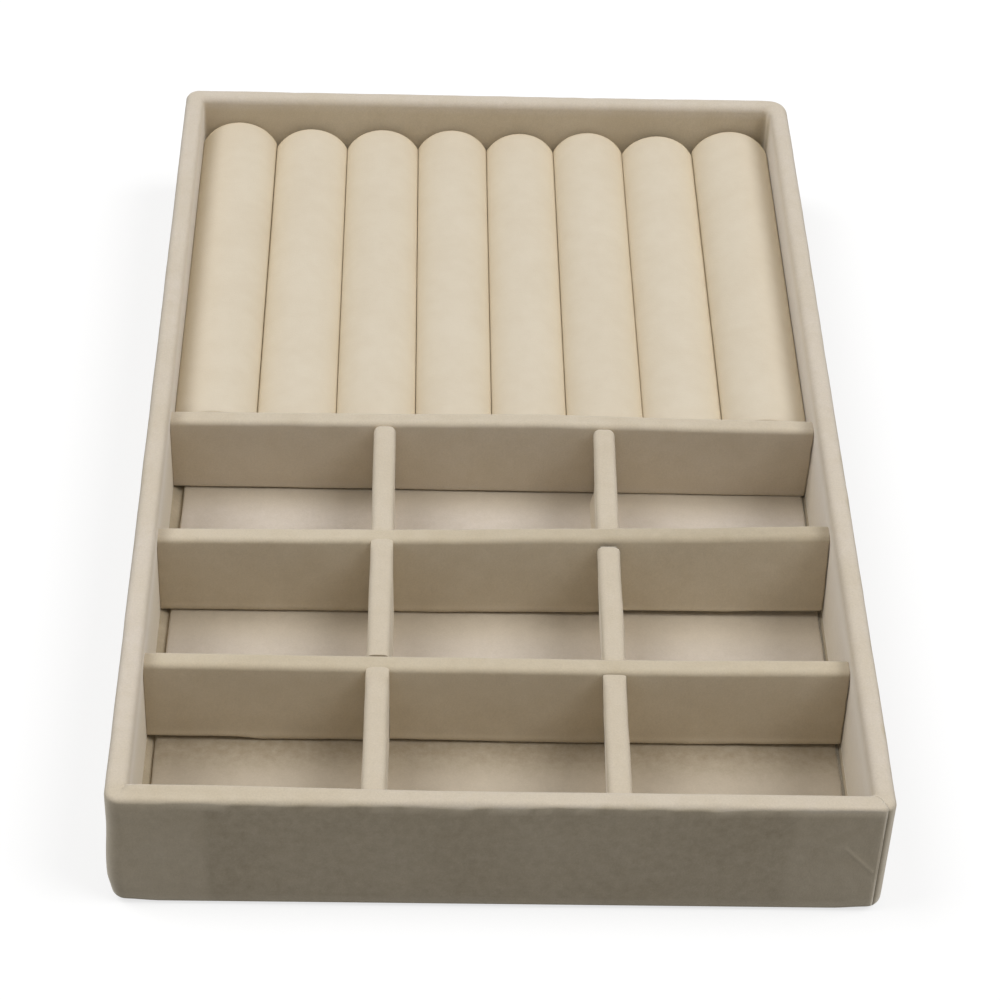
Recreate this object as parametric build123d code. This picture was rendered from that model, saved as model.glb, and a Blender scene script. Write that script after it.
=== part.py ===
from build123d import *
import os

# A jewelry tray. A light wooden carcass is wrapped in velvet. Foam ring rolls fill the bay at
# the back, and a halved grid of covered boards divides the front into compartments.
# Millimetres. The origin is the middle of the underside, +X is right, +Y back and +Z up.

# Whole tray, over the cloth
TRAY_WIDTH = 180.0
TRAY_LENGTH = 290.0
TRAY_HEIGHT = 35.0

# Cloth
CLOTH = 0.6
HEM_WIDTH = 12.0
SEAM_GAP = 0.3

# Carcass boards
WALL_BOARD = 4.0
BASE_BOARD = 2.0
BASE_REBATE = 2.0
CORNER_LAP = 2.0

# Roundings of the covered carcass
CORNER_ROUND = 3.7
RIM_ROUND = 2.0
FOOT_ROUND = 2.2

# Felt under the base, pressed thin over the hem
HEM_FELT = 0.5
FELT_INSET = 3.0
FELT_CORNER = 4.0

# Loose card under the compartments
FLOOR_CARD = 0.9
CARD_LEFT_GAP = 2.6
CARD_RIGHT_GAP = 0.4
CARD_END_GAP = 0.4
LINING_GAP = 0.2

# Ring bay
RING_BAY_LENGTH = 138.1
ROLL_CARD = 1.5
ROLL_GAP = 0.2
ROLL_END_GAP = 0.6
ROLL_FLAT = 0.4
ROLL_END_BEVEL = 1.1
ROLL_TURN_IN = 3.5
ROLL_WIDTH_SHARES = (1.03, 1.00, 1.01, 0.97, 0.96, 0.98, 1.01, 1.04)

# Divider grid
CROSS_BOARD = 3.8
LONG_BOARD = 4.4
CROSS_DROP = 5.8
LONG_DROP = 6.1
DIVIDER_ROUND = 1.8
CROSS_END_GAP = 0.4
LONG_END_GAP = 0.2
HANG_GAP = 0.8
SLOT_GAP = 0.15
LOOSE_SLOT = 0.9
ROW_SHARES = (0.33, 0.33, 0.34)
COLUMN_SHARES = (0.34, 0.32, 0.34)

# Cuts run this far past what they cut
OVERRUN = 1.0

# A board's flat bevel is this share of the rounding that cloth of even thickness gives it
BEVEL_SHARE = 2 - 2**0.5

# Heights of the layers, from the table up
hem_bottom = HEM_FELT
board_bottom = hem_bottom + CLOTH
base_top = board_bottom + BASE_BOARD
lining_top = base_top + CLOTH
card_top = lining_top + FLOOR_CARD
floor_top = card_top + CLOTH
roll_seat = lining_top + ROLL_CARD
board_top = TRAY_HEIGHT - CLOTH
cross_top = TRAY_HEIGHT - CROSS_DROP
long_top = TRAY_HEIGHT - LONG_DROP
cross_bottom = floor_top + HANG_GAP
slot_level = (floor_top + long_top) / 2

# Plan sizes
board_width = TRAY_WIDTH - 2 * CLOTH
board_length = TRAY_LENGTH - 2 * CLOTH
well_width = board_width - 2 * WALL_BOARD
well_length = board_length - 2 * WALL_BOARD
inside_width = well_width - 2 * CLOTH
inside_length = well_length - 2 * CLOTH
inside_back = inside_length / 2
cross_thickness = CROSS_BOARD + 2 * CLOTH
long_thickness = LONG_BOARD + 2 * CLOTH


def slab(width, length, bottom, top, corner=0, x=0, y=0):
    """A flat plate between two heights, with its upright corners rounded."""
    outline = RectangleRounded(width, length, corner) if corner else Rectangle(width, length)
    return Pos(x, y, bottom) * extrude(outline, amount=top - bottom)


def open_box(soften, plan, heights, corner, foot, rim, well, well_bottom):
    """A block hollowed by a square-cornered well, its foot and rim softened by fillet or chamfer."""
    bottom, top = heights
    block = slab(*plan, bottom, top, corner)
    block = soften(block.edges().group_by(Axis.Z)[0], foot)
    block -= slab(*well, well_bottom, top + OVERRUN)
    return soften(block.edges().group_by(Axis.Z)[-1], rim)


def board_bevel(cover_round):
    """The bevel on a board whose cover is rounded that much."""
    return BEVEL_SHARE * (cover_round - CLOTH)


def make_base_board():
    """The bottom, let into the rebate that it leaves in all four walls."""
    return slab(
        well_width + 2 * BASE_REBATE,
        well_length + 2 * BASE_REBATE,
        board_bottom,
        base_top,
    )


def make_walls():
    """All four walls in one ring, before the corner joints are cut."""
    ring = open_box(
        chamfer,
        (board_width, board_length),
        (board_bottom, board_top),
        CORNER_ROUND - CLOTH,
        board_bevel(FOOT_ROUND),
        board_bevel(RIM_ROUND),
        (well_width, well_length),
        board_bottom - OVERRUN,
    )
    return ring - make_base_board()


def side_zone(side):
    """The space of one side board, which stops at the lap of the front and back boards."""
    return slab(
        WALL_BOARD,
        board_length - 2 * CORNER_LAP,
        board_bottom,
        board_top,
        x=side * (board_width - WALL_BOARD) / 2,
    )


def make_side_board(side):
    return make_walls() & side_zone(side)


def make_end_board(end):
    """The front or back board: full width, its ends rebated to lap the side boards."""
    zone = slab(
        board_width,
        WALL_BOARD,
        board_bottom,
        board_top,
        y=end * (board_length - WALL_BOARD) / 2,
    )
    return make_walls() & (zone - side_zone(-1) - side_zone(1))


def corner_cut(side, end, reach_in, reach_out, bottom, top):
    """A thin upright cut along the diagonal of one corner of the tray."""
    middle = (reach_out - reach_in) / 2
    x = side * (TRAY_WIDTH / 2 + middle)
    y = end * (TRAY_LENGTH / 2 + middle)
    length = (reach_in + reach_out) * 2**0.5
    blade = slab(length, SEAM_GAP, bottom, top)
    return Pos(x, y, 0) * Rot(0, 0, side * end * 45) * blade


def make_outer_cover():
    """One strip of cloth: under the base, up the outside, over the rim and down the inside.

    Its hem is mitred at each corner, and its two ends meet at the front right corner.
    """
    cover = open_box(
        fillet,
        (TRAY_WIDTH, TRAY_LENGTH),
        (hem_bottom, TRAY_HEIGHT),
        CORNER_ROUND,
        FOOT_ROUND,
        RIM_ROUND,
        (inside_width, inside_length),
        base_top,
    )
    cover -= make_walls()
    cover -= make_base_board()
    cover -= slab(TRAY_WIDTH - 2 * HEM_WIDTH, TRAY_LENGTH - 2 * HEM_WIDTH, 0, board_bottom)
    for side in (-1, 1):
        for end in (-1, 1):
            cover -= corner_cut(side, end, HEM_WIDTH + CLOTH, -CORNER_ROUND, 0, board_bottom)
    cover -= corner_cut(1, -1, HEM_WIDTH + CLOTH, CLOTH, 0, TRAY_HEIGHT + OVERRUN)
    return cover


def make_base_lining():
    return slab(
        inside_width - 2 * LINING_GAP,
        inside_length - 2 * LINING_GAP,
        base_top,
        lining_top,
    )


def make_underside_cover():
    """Felt that fills the space inside the hem and laps over it."""
    sheet = slab(
        TRAY_WIDTH - 2 * FELT_INSET,
        TRAY_LENGTH - 2 * FELT_INSET,
        0,
        hem_bottom,
        FELT_CORNER,
    )
    pad = slab(
        TRAY_WIDTH - 2 * HEM_WIDTH - 2 * SEAM_GAP,
        TRAY_LENGTH - 2 * HEM_WIDTH - 2 * SEAM_GAP,
        0,
        board_bottom,
    )
    return sheet + pad


# Where the dividers stand, from the back of the ring bay forward
divider_1_y = inside_back - RING_BAY_LENGTH - cross_thickness / 2
rows_length = inside_length - RING_BAY_LENGTH - 3 * cross_thickness
columns_width = inside_width - 2 * long_thickness


def cross_divider_y(number):
    """The middle of a cross divider. Number 1 closes the ring bay."""
    rows = rows_length * sum(ROW_SHARES[: number - 1]) / sum(ROW_SHARES)
    return divider_1_y - rows - (number - 1) * cross_thickness


def long_divider_x(side):
    """The middle of the left or right long divider."""
    before = COLUMN_SHARES[: 1 if side < 0 else 2]
    columns = columns_width * sum(before) / sum(COLUMN_SHARES)
    return -inside_width / 2 + columns + (len(before) - 0.5) * long_thickness


def upright_blank(soften, length, thickness, bottom, top, amount):
    """A board along X that stands on edge, softened everywhere but underneath."""
    blank = slab(length, thickness, bottom, top)
    foot = blank.edges().group_by(Axis.Z)[0]
    return soften([edge for edge in blank.edges() if edge not in foot], amount)


def make_divider(length, board_thickness, bottom, top, slots):
    """A board and the cloth cover round it, both cut through by the same slots."""
    board = upright_blank(
        chamfer,
        length - 2 * CLOTH,
        board_thickness,
        bottom,
        top - CLOTH,
        board_bevel(DIVIDER_ROUND),
    )
    cover = upright_blank(
        fillet,
        length,
        board_thickness + 2 * CLOTH,
        bottom,
        top,
        DIVIDER_ROUND,
    )
    cover -= board
    for slot in slots:
        board -= slot
        cover -= slot
    return board, cover


def make_cross_divider(number):
    """A divider across the tray. Numbers 2 and 3 are slotted from below."""
    slots = []
    if number > 1:
        slots = [
            slab(
                long_thickness + 2 * SLOT_GAP,
                cross_thickness + 2 * OVERRUN,
                cross_bottom - OVERRUN,
                slot_level + SLOT_GAP,
                x=long_divider_x(side),
            )
            for side in (-1, 1)
        ]
    length = inside_width - 2 * CROSS_END_GAP
    pieces = make_divider(length, CROSS_BOARD, cross_bottom, cross_top, slots)
    return [Pos(0, cross_divider_y(number), 0) * piece for piece in pieces]


def make_long_divider(side):
    """A divider along the tray, slotted from above.

    The left one's front slot was cut too wide and shows a slit behind the cross divider.
    """
    back = divider_1_y - cross_thickness / 2 - LONG_END_GAP
    front = -inside_length / 2 + LONG_END_GAP
    middle = (back + front) / 2
    slots = []
    for number in (2, 3):
        spare = LOOSE_SLOT if side < 0 and number == 3 else 0
        slots.append(
            slab(
                cross_thickness + 2 * SLOT_GAP + spare,
                long_thickness + 2 * OVERRUN,
                slot_level - SLOT_GAP,
                long_top + OVERRUN,
                x=cross_divider_y(number) + spare / 2 - middle,
            )
        )
    pieces = make_divider(back - front, LONG_BOARD, floor_top, long_top, slots)
    place = Pos(long_divider_x(side), middle, 0) * Rot(0, 0, 90)
    return [place * piece for piece in pieces]


def make_floor_layer(bottom, top):
    """One layer of the loose floor, pushed against the right wall."""
    front = -inside_length / 2 + CARD_END_GAP
    back = divider_1_y - CARD_END_GAP / 2
    return slab(
        inside_width - CARD_LEFT_GAP - CARD_RIGHT_GAP,
        back - front,
        bottom,
        top,
        x=(CARD_LEFT_GAP - CARD_RIGHT_GAP) / 2,
        y=(front + back) / 2,
    )


def make_roll_card():
    front = divider_1_y + CARD_END_GAP / 2
    back = inside_back - CARD_END_GAP
    return slab(
        inside_width - 2 * CARD_END_GAP,
        back - front,
        lining_top,
        roll_seat,
        y=(front + back) / 2,
    )


def roll_blank(radius, length, end_bevel, flat_level):
    """A roll along Y with softened ends, its axis at the origin and a flat underneath."""
    roll = Rot(90, 0, 0) * Cylinder(radius, length)
    roll = chamfer(roll.edges().filter_by(GeomType.CIRCLE), end_bevel)
    return roll - slab(2 * radius, length + 2 * OVERRUN, -radius - OVERRUN, flat_level)


def make_ring_roll(number):
    """A foam core and its cloth: seam underneath, ends turned in over the foam."""
    widths = [inside_width * share / sum(ROLL_WIDTH_SHARES) for share in ROLL_WIDTH_SHARES]
    x = -inside_width / 2 + sum(widths[: number - 1]) + widths[number - 1] / 2
    y = inside_back - RING_BAY_LENGTH / 2
    radius = (widths[number - 1] - ROLL_GAP) / 2
    length = RING_BAY_LENGTH - 2 * ROLL_END_GAP
    flat_level = ROLL_FLAT - radius
    core_bevel = ROLL_END_BEVEL - BEVEL_SHARE * CLOTH
    core = roll_blank(radius - CLOTH, length - 2 * CLOTH, core_bevel, flat_level + CLOTH)
    cover = roll_blank(radius, length, ROLL_END_BEVEL, flat_level)
    cover -= core
    end_hole = radius - CLOTH - ROLL_TURN_IN
    cover -= Rot(90, 0, 0) * Cylinder(end_hole, length + 2 * OVERRUN)
    cover -= slab(SEAM_GAP, length + 2 * OVERRUN, flat_level - OVERRUN, 0)
    place = Pos(x, y, roll_seat - flat_level)
    return place * core, place * cover


parts = {
    "base_board": make_base_board(),
    "front_wall_board": make_end_board(-1),
    "back_wall_board": make_end_board(1),
    "left_wall_board": make_side_board(-1),
    "right_wall_board": make_side_board(1),
    "outer_cover": make_outer_cover(),
    "underside_cover": make_underside_cover(),
    "base_lining": make_base_lining(),
    "compartment_floor_card": make_floor_layer(lining_top, card_top),
    "compartment_floor_lining": make_floor_layer(card_top, floor_top),
    "ring_roll_card": make_roll_card(),
}
for number in (1, 2, 3):
    board, cover = make_cross_divider(number)
    parts[f"cross_divider_{number}_board"] = board
    parts[f"cross_divider_{number}_cover"] = cover
for name, side in (("left", -1), ("right", 1)):
    board, cover = make_long_divider(side)
    parts[f"long_divider_{name}_board"] = board
    parts[f"long_divider_{name}_cover"] = cover
for number in range(1, len(ROLL_WIDTH_SHARES) + 1):
    core, cover = make_ring_roll(number)
    parts[f"ring_roll_core_{number}"] = core
    parts[f"ring_roll_cover_{number}"] = cover

os.makedirs("parts", exist_ok=True)
for name, shape in parts.items():
    export_step(shape, f"parts/{name}.step")
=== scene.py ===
import math
from functools import partial

import bpy
from mathutils import Matrix, Vector, noise


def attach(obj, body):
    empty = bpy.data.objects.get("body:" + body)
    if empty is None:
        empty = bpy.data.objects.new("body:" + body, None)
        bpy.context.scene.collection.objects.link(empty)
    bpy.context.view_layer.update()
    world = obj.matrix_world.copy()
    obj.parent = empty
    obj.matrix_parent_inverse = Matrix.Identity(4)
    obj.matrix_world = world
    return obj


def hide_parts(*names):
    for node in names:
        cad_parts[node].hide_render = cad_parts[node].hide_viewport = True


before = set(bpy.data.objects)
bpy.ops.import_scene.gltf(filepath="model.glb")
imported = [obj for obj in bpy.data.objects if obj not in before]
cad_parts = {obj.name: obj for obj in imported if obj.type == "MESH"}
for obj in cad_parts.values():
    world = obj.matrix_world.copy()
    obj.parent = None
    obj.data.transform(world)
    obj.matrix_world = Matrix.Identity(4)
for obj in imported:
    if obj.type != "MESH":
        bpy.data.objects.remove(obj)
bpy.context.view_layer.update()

# All lengths below are in millimetres, the same values that the solids in model.glb have
MM = 0.001
TRAY_WIDTH = 180.0
TRAY_LENGTH = 290.0
TRAY_HEIGHT = 35.0
CLOTH = 0.6
INSIDE_WIDTH = 169.6
INSIDE_LENGTH = 279.6

# Heights of the layers
HEM_BOTTOM = 0.5
BASE_TOP = 3.1
CARD_BOTTOM = 3.7
FLOOR_TOP = 5.2
ROLL_SEAT = 5.2

# The cloth strip round the walls
WALL = 5.2
HEM_WIDTH = 12.0
CORNER_ROUND = 3.7
BACK_RIGHT_ROUND = 5.2
INNER_CORNER = 0.9
BUNCHED_CORNER = 2.6
RIM_ROUND = 2.0

# Where the dividers stand
CROSS_Y = {1: -0.8, 2: -47.545, 3: -94.29}
CROSS_TOP = 29.2
CROSS_BOTTOM = 6.0
CROSS_THICKNESS = 5.0
CROSS_LENGTH = 169.5
LONG_X = {"left": -28.144, "right": 28.144}
LONG_TOP = 28.9
LONG_THICKNESS = 5.6
LONG_BACK = -3.5
LONG_FRONT = -139.6
LONG_MIDDLE = (LONG_BACK + LONG_FRONT) / 2
DIVIDER_ROUND = 1.8
CROSS_TOP_ROUND = 1.4
SLOT_LEVEL = 17.05
SLOT_GAP = 0.15
LOOSE_SLOT = 0.5

# The ring rolls
ROLL_BOUNDS = (-84.9, -62.96, -41.76, -20.5, -0.06, 20.17, 40.79, 62.05, 84.55)
ROLL_BACKS = (139.4, 138.5, 138.7, 139.4, 139.1, 139.4, 138.4, 139.3)
ROLL_RISES = (0.7, 0.1, 0.1, 0.8, 0.5, 0.7, 0.0, 0.3)
ROLL_FRONT = 2.3


def wobble(point, size, seed=0.0):
    """Smooth unevenness from about -1 to 1, with lumps of that size in mm."""
    return noise.noise(Vector(point) / size + Vector((seed, 7.3 * seed, 3.1 * seed)))


def ramp(value, start, end):
    """0 before start and 1 after end, with a smooth step between."""
    share = min(max(part_way(value, start, end), 0.0), 1.0)
    return share * share * (3 - 2 * share)


def part_way(value, start, end):
    """How far along a value is from the start to the end, as a straight share."""
    return (value - start) / (end - start)


def bell(distance, width):
    """1 in the middle, falling smoothly to 0 at that width."""
    return 1 - ramp(abs(distance), 0, width)


# The photograph's viewpoint

EYE = Vector((-23.82, -596.14, 520.53)) * MM
DOWN, TURN, ROLL = (math.radians(a) for a in (41.111, 2.555, 2.575))
SENSOR_WIDTH, LENS = 36, 105.2
NEAREST_SEEN = 10 * MM
ahead = Vector((math.sin(TURN), math.cos(TURN), 0))
forward = Vector((ahead.x * math.cos(DOWN), ahead.y * math.cos(DOWN), -math.sin(DOWN)))
level = Vector((math.cos(TURN), -math.sin(TURN), 0))
upright = level.cross(forward)
right = math.cos(ROLL) * level + math.sin(ROLL) * upright
up = math.cos(ROLL) * upright - math.sin(ROLL) * level
camera_data = bpy.data.cameras.new("camera")
camera_data.sensor_width = SENSOR_WIDTH
camera_data.lens = LENS
camera_data.clip_start = NEAREST_SEEN
camera = bpy.data.objects.new("camera", camera_data)
camera.matrix_world = Matrix.Translation(EYE) @ Matrix((right, up, -forward)).transposed().to_4x4()
bpy.context.collection.objects.link(camera)
bpy.context.scene.camera = camera
bpy.context.scene.view_settings.view_transform = "Standard"


# Materials


def colour(hex_code):
    """An sRGB hex colour as the linear colour that a shader takes."""
    channels = [int(hex_code[i : i + 2], 16) / 255 for i in (1, 3, 5)]
    linear = [c / 12.92 if c <= 0.04045 else ((c + 0.055) / 1.055) ** 2.4 for c in channels]
    return (*linear, 1.0)


def add_node(tree, kind, inputs=None, **settings):
    """Adds one shader node. An input is a plain value, or (node, output) where it is linked."""
    new = tree.nodes.new(kind)
    for name, value in settings.items():
        setattr(new, name, value)
    for name, value in (inputs or {}).items():
        if isinstance(value, tuple) and isinstance(value[0], bpy.types.Node):
            tree.links.new(value[0].outputs[value[1]], new.inputs[name])
        else:
            new.inputs[name].default_value = value
    return new


def empty_tree(owner):
    """Clears the nodes of a material or world, and returns what adds a node to it."""
    owner.use_nodes = True
    owner.node_tree.nodes.clear()
    return partial(add_node, owner.node_tree)


def new_material(name):
    material = bpy.data.materials.new(name)
    return material, empty_tree(material)


def per_metre(size):
    """The texture scale, on coordinates in metres, of a pattern whose lumps are that many mm."""
    return 1 / (size * MM)


# The velvet's patterns: the size of the lumps in mm, the detail and the roughness. Real pile
# is about 0.1 mm across, and is drawn in tufts of 0.45 mm so that it shows
PATCHES, STROKES = (24, 2.0, 0.55), (5, 3.0, 0.6)
SCUFFS, TUFTS = (2.6, 4.0, 0.7), (0.45, 2.0, 0.7)
TUFT_HEIGHT = 0.12


def velvet(name, standing, brushed, pressed, stroked_up_and_highlight, sheen_tint, unevenness):
    """Short-pile polyester velvet. The pile lies this way and that in soft patches, so its
    tone drifts, and every fold and edge that is seen along the pile looks paler. Its
    unevenness is how deep, in mm, the strokes lie."""
    material, add = new_material(name)
    place = add("ShaderNodeTexCoord")
    patterns = []
    for size, detail, roughness in (PATCHES, STROKES, SCUFFS, TUFTS):
        lumps = {"Scale": per_metre(size), "Detail": detail, "Roughness": roughness}
        patterns.append(add("ShaderNodeTexNoise", {"Vector": (place, "Object"), **lumps}))
    patches, strokes, scuffs, tufts = patterns
    lie = add("ShaderNodeMath", {0: (patches, "Fac"), 1: (strokes, "Fac")}, operation="ADD")
    lie = add("ShaderNodeMapRange", {"Value": (lie, "Value"), "From Min": 0.75, "From Max": 1.25})
    tones = {"A": colour(standing), "B": colour(brushed)}
    tone = add("ShaderNodeMix", {"Factor": (lie, "Result"), **tones}, data_type="RGBA")
    # Where the pile is pressed flat it looks darker and browner, and where it is stroked up,
    # paler. The same attribute also carries painted shade, in the pressed tone, and painted
    # highlight, in the stroked-up tone. It runs from -1, stroked up, to 1, pressed flat
    nap_and_light = add("ShaderNodeAttribute", attribute_name="nap_and_light")
    narrow = {"From Min": 0.3, "From Max": 0.7}
    shades = {"To Min": 0.75, "To Max": 1.25}
    scuffed = add("ShaderNodeMapRange", {"Value": (scuffs, "Fac"), **narrow, **shades})
    nap_and_light = add("ShaderNodeMath", {0: (nap_and_light, "Fac"), 1: (scuffed, "Result")}, operation="MULTIPLY")
    flattened_and_shaded = add("ShaderNodeClamp", {"Value": (nap_and_light, "Value")})
    raised_and_highlit = add(
        "ShaderNodeMath", {0: (nap_and_light, "Value"), 1: -1.0}, operation="MULTIPLY", use_clamp=True
    )
    for amount, lying in (((flattened_and_shaded, "Result"), pressed), ((raised_and_highlit, "Value"), stroked_up_and_highlight)):
        tones = {"A": (tone, "Result"), "B": colour(lying)}
        tone = add("ShaderNodeMix", {"Factor": amount, **tones}, data_type="RGBA")
    shades = {"To Min": 1 - 0.2 * unevenness, "To Max": 1 + 0.2 * unevenness}
    speckle = add("ShaderNodeMapRange", {"Value": (tufts, "Fac"), **narrow, **shades})
    tone = add(
        "ShaderNodeVectorMath", {0: (tone, "Result"), 1: (speckle, "Result")}, operation="MULTIPLY"
    )
    pile = add(
        "ShaderNodeBump", {"Height": (tufts, "Fac"), "Strength": 0.35, "Distance": TUFT_HEIGHT * MM}
    )
    relief = {"Strength": 0.3, "Distance": unevenness * MM}
    pile = add("ShaderNodeBump", {"Height": (strokes, "Fac"), **relief, "Normal": (pile, "Normal")})
    gloss = {"Roughness": 0.95, "IOR": 1.45, "Specular IOR Level": 0.15}
    sheen = {"Sheen Weight": 1.0, "Sheen Roughness": 0.5, "Sheen Tint": colour(sheen_tint)}
    look = {"Base Color": (tone, "Vector"), "Normal": (pile, "Normal"), **gloss, **sheen}
    cloth = add("ShaderNodeBsdfPrincipled", look)
    add("ShaderNodeOutputMaterial", {"Surface": (cloth, "BSDF")})
    return material


def pressed_fibres(name, ground, fibre, size, matting, most, relief, surface):
    """Board or felt pressed from fibres of that size: a flat tone with short darker and
    paler fibres lying every way. Relief is how strong and how deep, in mm, they stand out."""
    material, add = new_material(name)
    place = add("ShaderNodeTexCoord")
    fibres = add(
        "ShaderNodeTexNoise", {"Vector": (place, "Object"), "Scale": per_metre(size), **matting}
    )
    share = add(
        "ShaderNodeMapRange", {"Value": (fibres, "Fac"), "From Min": 0.35, "From Max": most}
    )
    tones = {"A": colour(ground), "B": colour(fibre)}
    tone = add("ShaderNodeMix", {"Factor": (share, "Result"), **tones}, data_type="RGBA")
    strength, depth = relief
    grain = add(
        "ShaderNodeBump", {"Height": (fibres, "Fac"), "Strength": strength, "Distance": depth * MM}
    )
    look = {"Base Color": (tone, "Result"), "Normal": (grain, "Normal"), **surface}
    board = add("ShaderNodeBsdfPrincipled", look)
    add("ShaderNodeOutputMaterial", {"Surface": (board, "BSDF")})
    return material


def cut_foam(name, cell_size):
    """Open-cell polyurethane foam: pale cells, darker inside, a painted shade in each pit."""
    material, add = new_material(name)
    place = add("ShaderNodeTexCoord")
    cells = add(
        "ShaderNodeTexVoronoi", {"Vector": (place, "Object"), "Scale": per_metre(cell_size)}
    )
    tones = {"A": colour("#B9B096"), "B": colour("#ECE6D4")}
    tone = add("ShaderNodeMix", {"Factor": (cells, "Distance"), **tones}, data_type="RGBA")
    pits = add(
        "ShaderNodeBump", {"Height": (cells, "Distance"), "Strength": 0.6, "Distance": 0.3 * MM}
    )
    look = {"Base Color": (tone, "Result"), "Roughness": 0.95, "Normal": (pits, "Normal")}
    foam = add("ShaderNodeBsdfPrincipled", look)
    add("ShaderNodeOutputMaterial", {"Surface": (foam, "BSDF")})
    return material


# A velvet's tone where it is pressed flat, which also paints shade, and where it is stroked
# up, which also paints highlight, and that of its sheen
BEIGE_NAP_AND_LIGHT_TONES = ("#8B7C62", "#DAD0C6", "#F6F0E4")
CREAM_NAPS = ("#9A8A6E", "#E8E0D2", "#FBEBC8")
wrap_velvet = velvet("velvet_short_pile_beige", "#C7B9A0", "#CDC0A9", *BEIGE_NAP_AND_LIGHT_TONES, 0.25)
roll_velvet = velvet("velvet_short_pile_cream", "#D6CAB6", "#DACFBC", *CREAM_NAPS, 0.05)
floor_velvet = velvet("velvet_short_pile_beige_flat", "#BFB3A1", "#C5B9A7", *BEIGE_NAP_AND_LIGHT_TONES, 0.2)
# Thin pressed felt: matted fibres with no weave, a little mottled and fuzzy
FELT_SHEEN = {"Sheen Weight": 0.25, "Sheen Roughness": 0.6}
underside_felt = pressed_fibres(
    "felt_pressed_grey_brown", "#8F8470", "#B0A48D", 1.6,
    matting={"Detail": 6.0, "Roughness": 0.8, "Distortion": 2.5},
    most=0.68, relief=(0.5, 0.25),
    surface={"Roughness": 1.0, "Specular IOR Level": 0.1, **FELT_SHEEN},
)
# Boards pressed from fibres of wood or paper, with a dull, faintly rough surface
hardboard, fibreboard, grey_board = (
    pressed_fibres(
        *board,
        matting={"Detail": 5.0, "Roughness": 0.75, "Distortion": 1.5},
        most=0.65, relief=(0.3, 0.1),
        surface={"Roughness": roughness, "Specular IOR Level": 0.3},
    )
    for *board, roughness in (
        ("hardboard_pressed_brown", "#6E4F32", "#8A6845", 1.2, 0.55),
        ("fibreboard_sanded", "#A98A63", "#C0A47D", 0.8, 0.75),
        ("grey_board_laminated", "#8E877A", "#A59D8E", 1.0, 0.85),
    )
)
foam = cut_foam("foam_open_cell_cream", 0.6)

BOARD_MATERIALS = {
    "base_board": hardboard,
    **{f"{side}_wall_board": fibreboard for side in ("front", "back", "left", "right")},
    "compartment_floor_card": grey_board,
    "ring_roll_card": grey_board,
    **{f"ring_roll_core_{number}": foam for number in range(1, 9)},
}
for node_name, material in BOARD_MATERIALS.items():
    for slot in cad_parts[node_name].material_slots:
        slot.material = material


# Making pieces


def deselect_all():
    bpy.ops.object.select_all(action="DESELECT")


def set_mode(mode):
    bpy.ops.object.mode_set(mode=mode)


def start(name):
    """Names the primitive that was just added, and its mesh."""
    piece = bpy.context.active_object
    piece.name = piece.data.name = name
    return piece


def cloth_grid(name, columns, rows, place):
    """A grid of cloth, whose points are taken to their places on the tray one by one."""
    deselect_all()
    bpy.ops.mesh.primitive_grid_add(x_subdivisions=columns, y_subdivisions=rows, size=1)
    cloth = start(name)
    for vertex in cloth.data.vertices:
        column = round((vertex.co.x + 0.5) * columns)
        row = round((vertex.co.y + 0.5) * rows)
        vertex.co = Vector(place(column, row)) * MM
    return cloth


def select(piece, kind, wanted):
    """In edit mode, selects the edges with wanted(end, end), or the faces with wanted(middle)."""
    bpy.ops.mesh.select_mode(type=kind)
    bpy.ops.mesh.select_all(action="DESELECT")
    set_mode("OBJECT")
    points = [vertex.co for vertex in piece.data.vertices]
    for edge in piece.data.edges if kind == "EDGE" else ():
        edge.select = bool(wanted(*(points[index] for index in edge.vertices)))
    for face in piece.data.polygons if kind == "FACE" else ():
        face.select = bool(wanted(face.center))
    set_mode("EDIT")


def make_active(piece):
    deselect_all()
    piece.select_set(True)
    bpy.context.view_layer.objects.active = piece


def modify(piece, kind, **settings):
    """Adds a modifier and applies it."""
    make_active(piece)
    modifier = piece.modifiers.new(kind.lower(), kind)
    for name, value in settings.items():
        setattr(modifier, name, value)
    bpy.ops.object.modifier_apply(modifier=modifier.name)


def crisp_edges(piece):
    """Keeps worn or cut edges crisp, and rounded ones smooth."""
    make_active(piece)
    bpy.ops.object.shade_smooth_by_angle(angle=math.radians(35))


def thicken(cloth, thickness=CLOTH, even=True):
    """Gives a sheet its thickness, on the side away from the eye."""
    modify(cloth, "SOLIDIFY", thickness=thickness * MM, offset=-1, use_even_offset=even)


def paint_nap_and_light(piece, how_flat_and_shaded):
    """Records how flat the pile lies at every point of a cloth, from -1 to 1, which also paints
    shade where it is pressed and highlight where it is stroked up.
    """
    nap_and_light = piece.data.attributes.new("nap_and_light", "FLOAT", "POINT")
    for vertex, flat in zip(piece.data.vertices, nap_and_light.data):
        flat.value = how_flat_and_shaded(vertex.co / MM, vertex.normal)


def finish(piece, material, slot, *nodes):
    """Smooth shading, material, the body that it rides on and the nodes it stands for."""
    for face in piece.data.polygons:
        face.use_smooth = True
    piece.data.materials.clear()
    piece.data.materials.append(material)
    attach(piece, "root")
    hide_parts(*nodes)
    return piece


# The strip of velvet round the walls

OUTLINE_CELL = 1.8
CORNER_STEPS = 8
SEAM_ANGLE = 292.5
CORNER_SIGNS = ((1, -1), (1, 1), (-1, 1), (-1, -1))
# Rows of cells on the hem, the foot, the wall, the rim's two halves and the inside
HEM_CELLS, FOOT_CELLS, WALL_CELLS, RIM_CELLS, INNER_RIM_CELLS, INNER_CELLS = 4, 5, 14, 6, 5, 12
# How round the foot is, and how much more at the corners. How round and how uneven the rim
# is outside, less round and more uneven on the front, and the least it may be
FOOT_ROUND, FOOT_ROUND_MORE = 1.2, 0.9
OUTER_RIM_ROUND, FRONT_RIM_LESS = 1.9, 0.6
RIM_UNEVEN, FRONT_RIM_MORE, LEAST_RIM_ROUND = 0.5, 0.4, 0.7
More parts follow.
